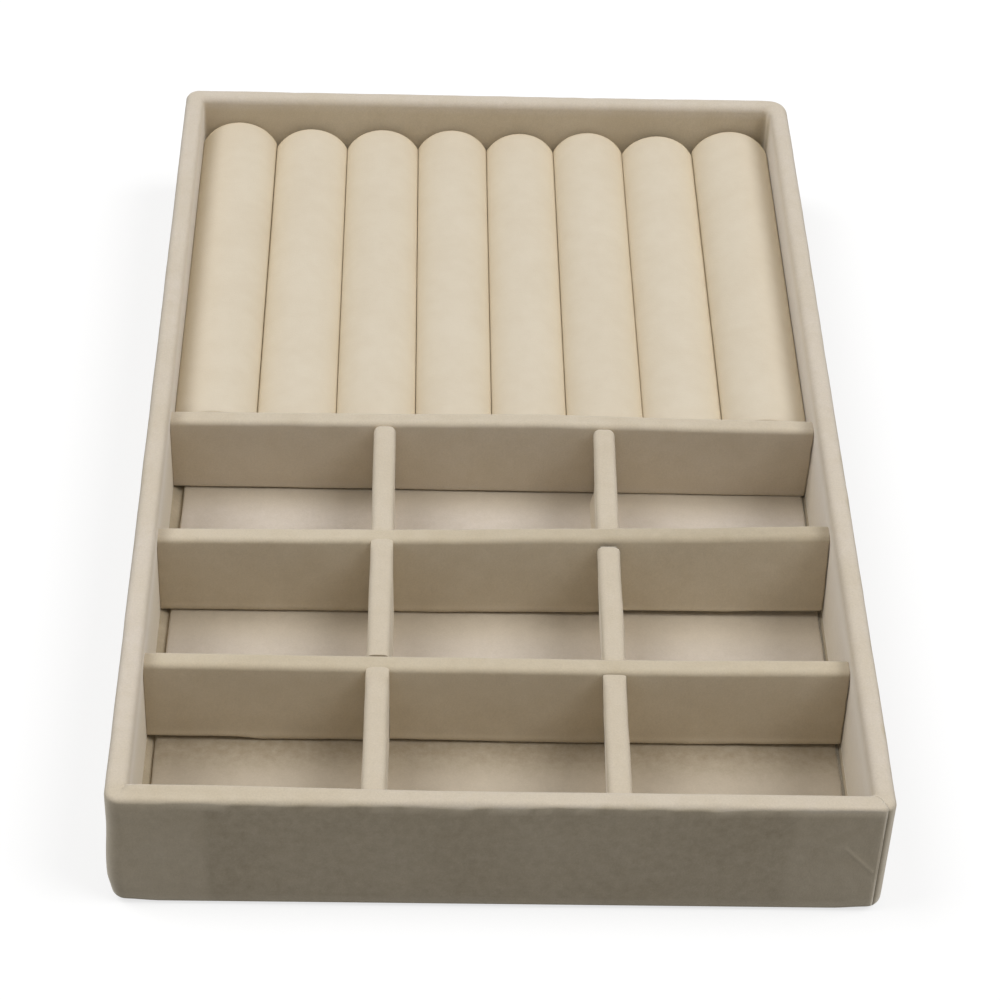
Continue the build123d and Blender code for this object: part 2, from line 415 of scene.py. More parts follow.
# How far, in mm, the cloth stands off its board, how high its waves and ripples are, and how
# far it stands off or is drawn in at single places
STRIP_OFF, STRIP_WAVES, STRIP_RIPPLES = 0.04, 0.07, 0.04
BACK_OUT_RIGHT, BACK_IN_LEFT = 0.5, 0.25
DOUBLED_RIM = 0.7
SEAM_TUCK, BESIDE_SEAM = 0.08, (0.1, 0.05)
DRAWN_IN = 0.3
CORNER_FOLD, CORNER_HOLLOW = 0.3, 0.25
LOOSE_CORNER = 0.7
CREASE_START, CREASE_END = (79.2, 22), (86.3, 14)
CREASE_WIDTH, CREASE_DEPTH = 0.6, 0.12


def strip_stations():
    """Where the strip's columns stand, from the seam at the front right corner round to it.
    Each is (corner, next corner, angle of its outward direction, share of the way)."""
    stations = []
    turns = ((SEAM_ANGLE - 360, 0), (0, 90), (90, 180), (180, 270), (270, SEAM_ANGLE))
    for number, (first, last) in enumerate(turns):
        corner = CORNER_SIGNS[number % 4]
        steps = round(CORNER_STEPS * (last - first) / 90)
        for step in range(steps):
            stations.append((corner, corner, first + (last - first) * step / steps, 0))
        if number < 4:
            following = CORNER_SIGNS[(number + 1) % 4]
            length = TRAY_LENGTH if corner[0] == following[0] else TRAY_WIDTH
            cells = round((length - 2 * CORNER_ROUND) / OUTLINE_CELL)
            for cell in range(cells):
                stations.append((corner, following, last, cell / cells))
    stations.append((CORNER_SIGNS[0], CORNER_SIGNS[0], SEAM_ANGLE, 0))
    return stations


def corner_radius(corner, inset):
    """How round the strip is at a corner, so far in from the outer face."""
    if corner == (1, 1):
        return max(BACK_RIGHT_ROUND - inset, BUNCHED_CORNER if inset < WALL + 1 else INNER_CORNER)
    return max(CORNER_ROUND - inset, INNER_CORNER)


def outline_point(station, inset):
    """The point of the tray's outline at that station, so far in from the outer face."""
    corner, following, angle, share = station
    angle = math.radians(angle)
    first, second = corner_radius(corner, inset), corner_radius(following, inset)
    ends = []
    for sign, radius in ((corner, first), (following, second)):
        x, y = TRAY_WIDTH / 2 - inset - radius, TRAY_LENGTH / 2 - inset - radius
        ends.append(Vector((sign[0] * x, sign[1] * y, 0)))
    radius = first + (second - first) * share
    outward = Vector((math.cos(angle), math.sin(angle), 0))
    return ends[0].lerp(ends[1], share) + radius * outward


def quarter_turn(first, cells, count):
    """How far a face looks outward and upward, at that many points of a quarter round."""
    for cell in range(count):
        angle = math.radians(first + 90 * cell / cells)
        yield math.cos(angle), math.sin(angle)


def strip_profile(rim_round, foot_round):
    """Every row of the strip as (inset, height, how far its face looks outward and upward)."""
    rows = []
    for cell in range(HEM_CELLS):
        inset = HEM_WIDTH + (foot_round - HEM_WIDTH) * cell / HEM_CELLS
        rows.append((inset, HEM_BOTTOM, 0, -1))
    for out, rise in quarter_turn(-90, FOOT_CELLS, FOOT_CELLS):
        rows.append((foot_round * (1 - out), HEM_BOTTOM + foot_round * (1 + rise), out, rise))
    foot = HEM_BOTTOM + foot_round
    for cell in range(WALL_CELLS):
        rows.append((0, foot + (TRAY_HEIGHT - rim_round - foot) * cell / WALL_CELLS, 1, 0))
    for out, rise in quarter_turn(0, RIM_CELLS, RIM_CELLS + 1):
        rows.append((rim_round * (1 - out), TRAY_HEIGHT - rim_round * (1 - rise), out, rise))
    for out, rise in quarter_turn(90, INNER_RIM_CELLS, INNER_RIM_CELLS + 1):
        height = TRAY_HEIGHT - RIM_ROUND * (1 - rise)
        rows.append((WALL - RIM_ROUND * (1 + out), height, out, rise))
    top = TRAY_HEIGHT - RIM_ROUND
    for cell in range(1, INNER_CELLS + 1):
        rows.append((WALL, top + (BASE_TOP - top) * cell / INNER_CELLS, -1, 0))
    return rows


def near_line(point, start_point, end_point, width):
    """1 on the line between two points of the front face, falling to 0 at that width."""
    a, b = Vector(start_point), Vector(end_point)
    p = Vector((point.x, point.z))
    share = min(max((p - a).dot(b - a) / (b - a).length_squared, 0), 1)
    return bell((p - (a + (b - a) * share)).length, width)


stations = strip_stations()
strip_rows = []
for station in stations:
    edge = outline_point(station, 0)
    both = (Vector((TRAY_WIDTH / 2, TRAY_LENGTH / 2)) - Vector((abs(edge.x), abs(edge.y)))).length
    foot_round = FOOT_ROUND + FOOT_ROUND_MORE * (1 - ramp(both, 3, 12))
    on_front = ramp(-edge.y, 140, 144.9)
    usual = OUTER_RIM_ROUND - FRONT_RIM_LESS * on_front
    uneven = RIM_UNEVEN + FRONT_RIM_MORE * on_front
    rim_round = usual + uneven * wobble(edge, 17, 1) + 0.5 * uneven * wobble(edge, 5, 2)
    strip_rows.append(strip_profile(max(rim_round, LEAST_RIM_ROUND), foot_round))


def strip_point(column, row):
    station = stations[column]
    inset, height, out, rise = strip_rows[column][row]
    point = outline_point(station, inset)
    point.z = height
    # The back wall's cloth stands a little further out at the right than at the left
    if point.y > TRAY_LENGTH / 2 - WALL - 1:
        point.y += BACK_OUT_RIGHT * ramp(point.x, 0, 90) - BACK_IN_LEFT * ramp(-point.x, 0, 90)
    angle = math.radians(station[2])
    face = Vector((math.cos(angle) * out, math.sin(angle) * out, rise))
    swell = STRIP_OFF + STRIP_WAVES * wobble(point, 26, 3) + STRIP_RIPPLES * wobble(point, 8, 4)
    on_wall = ramp(height, 1, 6)
    # The front rim is thicker towards the left, where the velvet folds over double
    inside_front = station[2] >= 270 and out < 0
    inner = DOUBLED_RIM * ramp(-point.x, 5, 75) if inside_front else 0
    # The cut ends are tucked in at the seam, and the cloth just beside it swells
    ends = min(column, len(stations) - 1 - column)
    tucked = -SEAM_TUCK * (1 - ramp(rise, -0.2, 0.2))
    tuck = (tucked, *BESIDE_SEAM)[ends] if ends < 3 else 0
    # Inside, the glue draws the side walls' cloth close to the board, and it bunches in the
    # corner at the back right
    drawn = 0
    if out < -0.9 and abs(point.x) > INSIDE_WIDTH / 2 - 1:
        drawn = -DRAWN_IN * ramp(-height, -30, -26) * ramp(-point.y, 0, 3)
    if inset > 4 and station[0] == station[1] == (1, 1):
        share = station[2] / 90
        fold = CORNER_FOLD * bell(share - 0.3, 0.3) - CORNER_HOLLOW * bell(share - 0.7, 0.3)
        drawn += fold * ramp(height, 9, 15)
    # The cloth stands off the foot of the front left corner
    loose = 0
    if out > 0.5:
        low = ramp(height, 2, 8) * (1 - ramp(height, 10, 26))
        loose = LOOSE_CORNER * low * ramp(-point.x, 84, 90) * ramp(-point.y, 110, 140)
    return point + face * ((swell + tuck) * on_wall + drawn + loose + inner)


# How strong the painted highlight is on the rim, drawn as raised pile, and how much less or
# # more it is in places
RIM_HIGHLIGHT, FRONT_LESS, FRONT_LEFT_LESS, LEFT_RIM_HIGHLIGHT = 0.36, 0.12, 0.2, 0.06
# How far the pile is pressed outside, which also paints shade on the outer faces, and how
# # much less in places
PRESSED_AND_SHADE, STROKED_LESS, FOOT_LESS, LEFT_SIDE_LESS, SEAM_HIGHLIGHT = 0.55, 0.2, 0.4, 0.6, 0.22


def strip_nap_and_light(point, normal):
    """The pile is stroked down on the outside, in patches, which paints shade there, and stands
    on the rim as a painted highlight. The inner side walls get a painted highlight, and the
    back right corner painted shade.
    """
    outside = max(abs(point.x) - TRAY_WIDTH / 2, abs(point.y) - TRAY_LENGTH / 2)
    on_top = ramp(point.z, 31.5, 33.5)
    rim = 0.05 + (RIM_HIGHLIGHT - FRONT_LESS * ramp(-point.y, 135, 142)) * on_top
    rim -= FRONT_LEFT_LESS * ramp(-point.x, 0, 60) * ramp(-point.y, 136, 142)
    rim += LEFT_RIM_HIGHLIGHT * ramp(-point.x, 82, 86) * ramp(-point.y, 30, 100)
    rim *= 1 + 0.4 * wobble(point, 12, 14)
    if outside < -1.2:
        # Inside, the side walls get a painted highlight along their pile, towards the top
        lowest, palest = 18, 0.95
        if point.x > 0:
            lowest, palest = 6, 0.85 + 0.15 * ramp(point.y, -60, -30)
        palest *= ramp(-point.z, -33, -30.5)
        corner = Vector((point.x - 84.8, point.y - 139.8)).length
        side_wall_highlight = palest * ramp(abs(point.x), 84, 85) * ramp(point.z, lowest, 30)
        side_wall_highlight *= ramp(corner, 4, 9)
        # Painted shade in the back right corner, below the rim, where the cloth bunches
        return 0.3 * bell(corner, 5) * ramp(-point.z, -32.5, -30) - max(rim, side_wall_highlight)
    # On the front, a hand has stroked the two ends the other way
    stroked = max(ramp(-point.x, 66, 68), ramp(point.x, 65.5, 67.5)) * ramp(-point.y, 120, 144)
    flat = PRESSED_AND_SHADE + 0.12 * wobble(point, 22, 11) - STROKED_LESS * stroked
    flat -= FOOT_LESS * (1 - ramp(point.z, 1.2, 4.5))
    # The left side has less of the pressed pile and its painted shade, except near the front
    flat -= LEFT_SIDE_LESS * ramp(-point.x, 88.6, 89.6) * ramp(point.y, -140, -110)
    # A painted highlight down the front right corner, at the seam
    flat -= SEAM_HIGHLIGHT * ramp(point.x, 88.3, 89) * ramp(-point.y, 139, 141)
    # The pressed pile and its painted shade end raggedly under the rim, where the rim's painted
    #         # highlight begins
    edge = TRAY_HEIGHT - 0.6 + 1.0 * wobble(point, 8, 12) + 0.5 * wobble(point, 3, 15)
    # A painted highlight along the crease in the front face
    if point.y < -TRAY_LENGTH / 2 + 1:
        flat -= 0.3 * near_line(point, CREASE_START, CREASE_END, CREASE_WIDTH)
    share = ramp(-point.z, -edge, 1.3 - edge)
    return flat * share - rim * (1 - share)


def crease_front(strip):
    """Presses a short thin crease into the front face, near the seam."""
    set_mode("EDIT")
    low, high = Vector((77.5, -146, 12)) * MM, Vector((88, -144.5, 24)) * MM
    select(strip, "FACE", lambda m: all(a < b < c for a, b, c in zip(low, m, high)))
    bpy.ops.mesh.subdivide(number_cuts=4)
    set_mode("OBJECT")
    for vertex in strip.data.vertices:
        point = vertex.co / MM
        if point.y < -144.3:
            share = near_line(point, CREASE_START, CREASE_END, CREASE_WIDTH)
            vertex.co.y -= CREASE_DEPTH * MM * share


strip = cloth_grid("outer_velvet", len(stations) - 1, len(strip_rows[0]) - 1, strip_point)
thicken(strip)
crease_front(strip)
paint_nap_and_light(strip, strip_nap_and_light)
finish(strip, wrap_velvet, "velvet", "outer_cover")


# The felt underneath

FELT_INSET = 3.0
FELT_WIDTH = TRAY_WIDTH - 2 * FELT_INSET
FELT_LENGTH = TRAY_LENGTH - 2 * FELT_INSET
FELT_COLUMNS, FELT_ROWS = 56, 92
FELT_CORNER = 4
FELT_SUNK = 0.3


def felt_point(column, row):
    """The felt lies on the hem near its edge, and sinks a little inside the hem."""
    x = FELT_WIDTH * (column / FELT_COLUMNS - 0.5)
    y = FELT_LENGTH * (0.5 - row / FELT_ROWS)
    corner_x, corner_y = FELT_WIDTH / 2 - FELT_CORNER, FELT_LENGTH / 2 - FELT_CORNER
    if abs(x) > corner_x and abs(y) > corner_y:
        away = Vector((abs(x) - corner_x, abs(y) - corner_y))
        square = max(away) / away.length if away.length else 1
        x = math.copysign(corner_x + away.x * square, x)
        y = math.copysign(corner_y + away.y * square, y)
    to_edge = min(FELT_WIDTH / 2 - abs(x), FELT_LENGTH / 2 - abs(y))
    over_hem = HEM_WIDTH - FELT_INSET
    sunk = FELT_SUNK * ramp(to_edge, over_hem - 1, over_hem + 2)
    uneven = 0.04 * (1 + wobble((x, y, 0), 14, 5))
    return (x, y, sunk + uneven)


felt = cloth_grid("underside_felt", FELT_COLUMNS, FELT_ROWS, felt_point)
thicken(felt, HEM_BOTTOM - 0.06)
finish(felt, underside_felt, "felt", "underside_cover")


# The lining of the base and the cloth of the loose floor

LINING_COLUMNS, LINING_ROWS = 60, 100
UP_LEFT_WALL, UP_RIGHT_WALL = 1.5, 1.1


def lining_point(column, row):
    # The columns crowd together near the side walls, where glue holds the lining a little up
    x = (INSIDE_WIDTH / 2 + 0.5) * math.sin(math.pi * (column / LINING_COLUMNS - 0.5))
    y = (INSIDE_LENGTH - 0.4) * (row / LINING_ROWS - 0.5)
    at_wall = UP_LEFT_WALL * ramp(-x, 82.0, 85.2) ** 2 + UP_RIGHT_WALL * ramp(x, 84.2, 84.7)
    return (x, y, CARD_BOTTOM + at_wall + 0.03 * wobble((x, y, 0), 12, 6) - 0.03)


lining = cloth_grid("base_lining_velvet", LINING_COLUMNS, LINING_ROWS, lining_point)
thicken(lining)
# The lining's pile is pressed darker and browner, a painted shade where it shows in the gaps beside
# the floor
paint_nap_and_light(lining, lambda point, normal: 0.45 + 0.1 * wobble(point, 9, 16))
finish(lining, wrap_velvet, "velvet", "base_lining")

FLOOR_BACK = -1.0
FLOOR_FRONT = -139.4
FLOOR_LEFT, FLOOR_RIGHT = -82.15, 84.2
FLOOR_COLUMNS, FLOOR_ROWS = 84, 70
EDGE_ROUND, EDGE_CELLS, EDGE_DROP = 0.7, 3, 0.6


def floor_point(column, row):
    """The floor's velvet is turned down over the edge of its card on every side."""
    y_share = min(max((row - EDGE_CELLS) / (FLOOR_ROWS - 2 * EDGE_CELLS), 0), 1)
    x_share = min(max((column - EDGE_CELLS) / (FLOOR_COLUMNS - 2 * EDGE_CELLS), 0), 1)
    # Its sides run a little askew, and the pile makes them uneven
    along = (0, 140 * y_share, 0)
    left = FLOOR_LEFT - 1.15 * (1 - y_share) + 0.12 * wobble(along, 7, 7)
    right_edge = FLOOR_RIGHT - 0.4 * (1 - y_share) + 0.25 * wobble(along, 6, 8)
    front, back = FLOOR_FRONT + EDGE_ROUND, FLOOR_BACK - EDGE_ROUND
    x = left + EDGE_ROUND + (right_edge - left - 2 * EDGE_ROUND) * x_share
    y = front + (back - front) * y_share
    z = FLOOR_TOP - 0.05 + 0.05 * wobble((x, y, 0), 15, 9)
    # Three cells beyond the flat turn the edge: a quarter round and a short drop
    for over, axis in (
        (EDGE_CELLS - column, (-1, 0)),
        (column - (FLOOR_COLUMNS - EDGE_CELLS), (1, 0)),
        (EDGE_CELLS - row, (0, -1)),
        (row - (FLOOR_ROWS - EDGE_CELLS), (0, 1)),
    ):
        if over > 0:
            bend = math.radians((45, 90, 90)[over - 1])
            x += axis[0] * EDGE_ROUND * math.sin(bend)
            y += axis[1] * EDGE_ROUND * math.sin(bend)
            z -= EDGE_ROUND * (1 - math.cos(bend)) + (EDGE_DROP if over == EDGE_CELLS else 0)
    return (x, y, max(z, CARD_BOTTOM + 0.05))


# In each row of compartments: how much painted shade, drawn as pressed pile, lies at the back
# # behind its divider, how much less at the front, and over how many mm that changes
FLOOR_PAINTED_SHADE = {1: (0.05, 0.65, 12), 2: (0.25, 0.7, 17), 3: (0.65, 0.6, 16)}


def floor_nap_and_shade(point, normal):
    """Painted shade, drawn as pressed pile, along the back of each compartment where its divider
    shades the floor, fading towards its front, with soft patches.
    """
    row = max(number for number in CROSS_Y if number == 1 or point.y < CROSS_Y[number])
    behind, less, reach = FLOOR_PAINTED_SHADE[row]
    ahead = CROSS_Y[row] - CROSS_THICKNESS / 2 - point.y
    return behind - less * ramp(ahead, 1.5, reach) + 0.08 * wobble(point, 18, 13)


floor_cloth = cloth_grid("floor_velvet", FLOOR_COLUMNS, FLOOR_ROWS, floor_point)
thicken(floor_cloth, 0.4)
paint_nap_and_light(floor_cloth, floor_nap_and_shade)
finish(floor_cloth, floor_velvet, "velvet", "compartment_floor_lining")


# The dividers' covers

CROSS_END_ROUND = 0.5
LONG_END_ROUND = 1.7
HEM_DROP = 0.45
# Cells along and up a cover, closer cuts beside a slot, and the board's edge and cells
COVER_CELL, COVER_ROW = 2.0, 2.6
MOUTH_CUTS = (0, 0.35, 0.9, 1.7)
BOARD_EDGE, BOARD_CELL = 0.35, 6
# How far a cover stands off its board, and the height of its waves and ripples
COVER_OFF, COVER_WAVES, COVER_RIPPLES = 0.05, 0.10, 0.05
HEM_WAVES, TOP_WAVES = 0.12, 0.14
HEM_HEIGHT = 3.2
# The cloth at a slot's mouth reaches over the other divider, unless it is rounder than this
SMALL_MOUTH = 0.5
# How far the ends are pressed into the pile of the walls
INTO_LEFT, INTO_RIGHT, INTO_UNEVEN = 0.45, 0.1, 0.3


def cut_across(axis, places):
    """In edit mode, cuts all faces by planes across that axis, at those places in metres."""
    normal = [float(axis == number) for number in range(3)]
    for place in places:
        bpy.ops.mesh.select_all(action="SELECT")
        bpy.ops.mesh.bisect(plane_co=[place * n for n in normal], plane_no=normal, threshold=1e-6)


def spread_cuts(low, high, step, fixed):
    """Places for even cuts between two ends, leaving out those that crowd a fixed one."""
    count = round((high - low) / step)
    even = [low + (high - low) * number / count for number in range(1, count)]
    return sorted([p for p in even if all(abs(p - f) > step / 3 for f in fixed)] + list(fixed))


def at(table, place):
    """Reads a short table of (place, value), straight between its lines."""
    (low, value), *rest = table
    if place <= low:
        return value
    for high, following in rest:
        if place <= high:
            return value + (following - value) * (place - low) / (high - low)
        low, value = high, following
    return value


def slot_end(from_above):
    return SLOT_LEVEL - SLOT_GAP if from_above else SLOT_LEVEL + SLOT_GAP


def upright_box(name, length, thickness, bottom, top):
    """A box along X about the origin, left in edit mode."""
    deselect_all()
    bpy.ops.mesh.primitive_cube_add(
        size=1,
        location=(0, 0, (bottom + top) / 2 * MM),
        scale=(length * MM, thickness * MM, (top - bottom) * MM),
    )
    box = start(name)
    bpy.ops.object.transform_apply()
    set_mode("EDIT")
    return box


def open_wrap(cover, length, bottom, top):
    """Rounds a long divider's cover: open underneath, where it stands on the floor."""
    end = (length / 2 - 1e-3) * MM
    select(cover, "FACE", lambda middle: middle.z < (bottom + 1e-3) * MM)
    bpy.ops.mesh.delete(type="FACE")
    select(cover, "EDGE", lambda a, b: abs(a.z - b.z) > 1e-3 and min(abs(a.x), abs(b.x)) > end)
    bpy.ops.mesh.bevel(offset=LONG_END_ROUND * MM, segments=4)
    ceiling = (top - 1e-3) * MM
    select(cover, "EDGE", lambda a, b: a.z > ceiling and b.z > ceiling)
    bpy.ops.mesh.bevel(offset=DIVIDER_ROUND * MM, segments=5, clamp_overlap=True)


def closed_wrap(cover, length, bottom, top, foot_round):
    """Rounds a cross divider's cover, which goes all the way round its board."""
    long_edge = 0.5 * length * MM
    for level, size, steps in ((top, CROSS_TOP_ROUND, 6), (bottom, foot_round, 4)):

        def runs_along(a, b):
            at_level = all(abs(end.z - level * MM) < 1e-6 for end in (a, b))
            return at_level and abs(a.x - b.x) > long_edge

        select(cover, "EDGE", runs_along)
        bpy.ops.mesh.bevel(offset=size * MM, segments=steps)
    end = (length / 2 - 1e-3) * MM
    select(cover, "EDGE", lambda a, b: min(abs(a.x), abs(b.x)) > end and a.x * b.x > 0)
    bpy.ops.mesh.bevel(offset=CROSS_END_ROUND * MM, segments=3)


def divider_cover(name, length, thickness, bottom, top, slots, from_above, foot_round):
    """A rounded cover along X about the origin, with its slots cut. A slot is (its middle,
    its width) along X."""
    cover = upright_box(name, length, thickness, bottom, top)
    if from_above:
        open_wrap(cover, length, bottom, top)
    else:
        closed_wrap(cover, length, bottom, top, foot_round)
    slot_level = slot_end(from_above) * MM
    fixed = [
        (x + side * (width / 2 + beyond)) * MM
        for x, width in slots
        for side in (-1, 1)
        for beyond in (MOUTH_CUTS if from_above else (0,))
    ]
    half = (length / 2 - DIVIDER_ROUND) * MM
    cut_across(0, spread_cuts(-half, half, COVER_CELL * MM, fixed))
    foot = bottom + foot_round
    levels = [slot_level] if slots else []
    levels += [(foot + beyond) * MM for beyond in (0.7, 1.5)]
    cut_across(2, spread_cuts(foot * MM, (top - DIVIDER_ROUND) * MM, COVER_ROW * MM, levels))
    for x, width in slots:
        low, high = (x - width / 2) * MM, (x + width / 2) * MM
        select(cover, "FACE", lambda m: low < m.x < high and (m.z > slot_level) == from_above)
        bpy.ops.mesh.delete(type="FACE")
    set_mode("OBJECT")
    return cover


def divider_board(name, length, thickness, bottom, top, slots, from_above, place):
    """The grey board inside a cover: its slots are sawn through, its edges a little worn."""
    board = upright_box(name, length, thickness, bottom, top)
    bpy.ops.mesh.select_all(action="SELECT")
    bpy.ops.mesh.bevel(offset=BOARD_EDGE * MM, segments=2)
    half = (length / 2 - 1) * MM
    cut_across(0, spread_cuts(-half, half, BOARD_CELL * MM, []))
    set_mode("OBJECT")
    level = slot_end(from_above)
    low, high = (level, top + 2) if from_above else (bottom - 2, level)
    for x, width in slots:
        saw = upright_box("saw", width, thickness + 4, low, high)
        set_mode("OBJECT")
        for vertex in saw.data.vertices:
            vertex.co.x += x * MM
        modify(board, "BOOLEAN", operation="DIFFERENCE", object=saw, solver="EXACT")
        bpy.data.objects.remove(saw)
    for vertex in board.data.vertices:
        vertex.co = Vector(place(*(vertex.co / MM))) * MM
    return board


def mouth_drop(x, height, top, slots):
    """How far a point near the top sinks beside a slot's mouth, where the cloth rounds it
    off. Each slot says how round its two sides are, in mm."""
    drop = 0
    for middle, width, front_round, back_round, rise in slots:
        away = abs(x - middle) - width / 2
        round_here = front_round if x < middle else back_round
        if round_here and -1e-3 < away < round_here:
            rest = round_here - max(away, 0)
            drop = max(drop, round_here - math.sqrt(max(round_here**2 - rest**2, 0)))
    return drop * ramp(height, top - 6, top - 0.5)


def mouth_reach(x, height, top, slots):
    """How far the cloth at a slot's mouth reaches over the rounded top of the divider that
    crosses there, on the sides that are not rounded off themselves."""
    reach = 0
    into = min(max(height - (top - CROSS_TOP_ROUND), 0), 0.95 * CROSS_TOP_ROUND)
    hollow = CROSS_TOP_ROUND - math.sqrt(CROSS_TOP_ROUND**2 - into**2)
    for middle, width, front_round, back_round, rise in slots:
        for side, round_here in ((-1, front_round), (1, back_round)):
            if abs(x - middle - side * width / 2) < 0.01 and 0 < round_here < SMALL_MOUTH:
                over = ramp(into, 0.4, 1.2) if rise and side == -1 else 0
                reach -= side * (hollow + 0.2 + over)
    return reach


def mouth_rise(x, height, top, slots):
    """How far the cloth in front of a slot comes up and squares off, to lie flush with the
    top of the divider that crosses there."""
    up = 0
    for middle, width, front_round, back_round, rise in slots:
        away = middle - width / 2 - x
        if rise and -0.01 < away < 4 and height > top - DIVIDER_ROUND - 0.01:
            up = (1 - ramp(away, 0.5, 4)) * (rise + 0.7 * (top - height))
    return up


def dress_board(cover, place, thickness, bottom, top, mouths, seed, lip, loose, hem_rise):
    """Moves the points of a cover: uneven cloth, a wavy hem, rounded slot mouths. Then it
    takes them to the divider's place and gives the cloth its thickness. Where the hem hangs
    loose is given as (from, to, side, how far it stands off, how high)."""
    for vertex in cover.data.vertices:
        x, y, z = vertex.co / MM
        side = ramp(abs(y), thickness / 2 - 1.6, thickness / 2 - 0.2) * (1 if y > 0 else -1)
        spot = (x, y * 2, z)
        puff = COVER_OFF + COVER_WAVES * wobble(spot, 16, seed)
        puff += COVER_RIPPLES * wobble(spot, 5, seed + 1)
        hem = 1 - ramp(z, bottom, bottom + HEM_HEIGHT)
        puff += lip * hem * (0.6 + 0.6 * wobble(spot, 9, seed + 2))
        for low, high, loose_side, stand_off, height in loose:
            if y * loose_side > 0:
                along = ramp(x, low, low + 2) * ramp(-x, -high, 2 - high)
                puff += stand_off * along * (1 - ramp(z, bottom, bottom + height))
        y += side * puff
        z += hem * (HEM_WAVES * wobble((x, y, 0), 11, seed + 3) + at(hem_rise, x))
        z += ramp(z, top - 2, top) * TOP_WAVES * wobble((x, 0, 0), 13, seed + 4)
        z -= mouth_drop(x, z, top, mouths)
        z += mouth_rise(x, z, top, mouths)
        x += mouth_reach(x, z, top, mouths)
        vertex.co = Vector(place(x, y, z)) * MM
    thicken(cover, even=False)


# The dividers stand loose in each other's slots, so each leans a little. Tables along the
# tray's width or length, in mm: how far the foot and the top stand off their true line,
# and how much higher the top is
CROSS_FOOT = {
    1: ((-80, 0.3), (80, 0.3)),
    2: ((-80, -1.1), (0, -0.8), (80, -0.1)),
    3: ((-80, 0.1), (80, 0.1)),
}
CROSS_HEAD = {
    1: ((-80, -0.9), (-50, -0.7), (-11, -0.3), (15, 0.1), (49, -0.5), (80, -0.8)),
    2: ((-80, -0.6), (-49, -0.2), (-10, 0.3), (15, 1.3), (49, 2.2), (80, 3.7)),
    3: ((-80, 0.9), (-49, 0.7), (45, 0.7), (80, 1.3)),
}
CROSS_RISE = {
    1: ((-80, -0.3), (-11, -0.1), (15, 0.05), (80, -0.2)),
    2: ((-80, -0.05), (0, 0.2), (80, 0.2)),
    3: ((-80, 0.35), (45, 0.25), (80, 0.35)),
}
LONG_HEAD = {
    "left": ((-139, -1.3), (-129, -1.2), (-94, -0.8), (-62, -0.55), (-4, -0.4)),
    "right": ((-129, -0.7), (-110, -0.6), (-79, 0.0), (-62, 0.0), (-32, 0.5), (-4, 1.0)),
}
LONG_FOOT = {
    "left": ((-139, -1.1), (-94, -0.7), (-4, -0.4)),
    "right": ((-129, 1.2), (-110, 1.3), (-79, 1.9), (-62, 1.9), (-32, 2.4), (-4, 2.8)),
}


def slot_lean(number, x, z):
    """A cross divider's slots lean with the long dividers that stand in them."""
    lean = 0
    for side, long_x in LONG_X.items():
        foot, head = at(LONG_FOOT[side], CROSS_Y[number]), at(LONG_HEAD[side], CROSS_Y[number])
        share = part_way(min(z, SLOT_LEVEL), FLOOR_TOP, LONG_TOP)
        below = share - part_way(SLOT_LEVEL, FLOOR_TOP, LONG_TOP)
        lean += (head - foot) * below * bell(x - long_x, 14)
    return lean


def stand_cross(number):
    def place(x, y, z):
        up = part_way(z, CROSS_BOTTOM, CROSS_TOP)
        if number > 1:
            x += slot_lean(number, x, z)
        # The ends are pressed into the pile of the walls, at the right unevenly
        if x < 1.5 - CROSS_LENGTH / 2:
            x -= INTO_LEFT
        if x > CROSS_LENGTH / 2 - 1.5:
            x += INTO_RIGHT + INTO_UNEVEN * wobble((0, 0, z), 5, number)
        foot, head = at(CROSS_FOOT[number], x), at(CROSS_HEAD[number], x)
        rise = at(CROSS_RISE[number], x) * up
        return (x, CROSS_Y[number] + y + foot + (head - foot) * up, z + rise)

    return place


def stand_long(side):
    def place(x, y, z):
        up = part_way(z, FLOOR_TOP, LONG_TOP)
        along = x + LONG_MIDDLE
        foot, head = at(LONG_FOOT[side], along), at(LONG_HEAD[side], along)
        return (LONG_X[side] - y + foot + (head - foot) * up, along, z)

    return place


def crossing(side, number):
    """How far the long divider at a crossing, and the cross divider there, stand off their
    true lines, at the level where their slots meet."""
    half_up = part_way(SLOT_LEVEL, FLOOR_TOP, LONG_TOP)
    shifts = []
    for foot, head, place in (
        (LONG_FOOT[side], LONG_HEAD[side], CROSS_Y[number]),
        (CROSS_FOOT[number], CROSS_HEAD[number], LONG_X[side]),
    ):
        shifts.append(at(foot, place) + (at(head, place) - at(foot, place)) * half_up)
    return shifts


